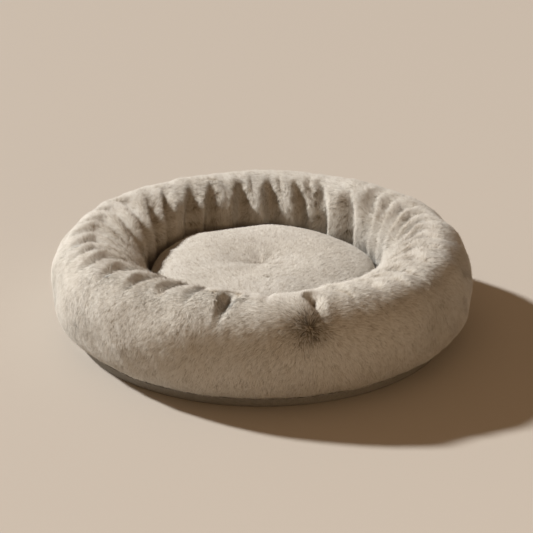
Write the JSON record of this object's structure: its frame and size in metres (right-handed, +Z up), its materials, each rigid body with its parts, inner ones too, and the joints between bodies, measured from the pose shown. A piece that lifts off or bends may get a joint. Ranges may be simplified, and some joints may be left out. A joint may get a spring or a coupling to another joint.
{
  "type": "pet cushion bed",
  "caption": "Round plush pet bed: a stuffed ring with a pleated inner wall on a flat base, and a loose round cushion with a tufted middle.",
  "frame": {"origin": "centre of the underside, on the floor", "axes": "+Z up, -Y towards the front, +X to the right seen from the front"},
  "size_m": [0.6, 0.6, 0.142],
  "materials": {
    "ring_plush": "short pile faux fur, cream",
    "cushion_plush": "short pile faux fur, cream",
    "cushion_underside": "plain woven cotton, oatmeal",
    "base_fabric": "woven non-slip fabric, grey",
    "wadding": "needled polyester wadding",
    "lining": "plain lining cloth",
    "filling": "loose polyester fibre",
    "thread": "sewing thread, cream",
    "base_thread": "sewing thread, grey",
    "label": "blank woven label"
  },
  "bodies": {
    "ring": {"base_cover": "base_fabric", "base_wadding": "wadding", "ring_floor_lining": "lining", "ring_cover": "ring_plush", "ring_filling": "filling", "ring_gather_thread": "thread", "base_seam_thread": "base_thread", "base_label": "label"},
    "cushion": {"cushion_top_panel": "cushion_plush", "cushion_underside_panel": "cushion_underside", "cushion_filling": "filling", "cushion_seam_thread": "thread", "cushion_tuft_tie": "thread"}
  },
  "joints": [
    {"name": "cushion_lift", "type": "slide", "parent": "ring", "child": "cushion", "axis": [0, 0, 1], "range_m": [0, 0.16]}
  ]
}
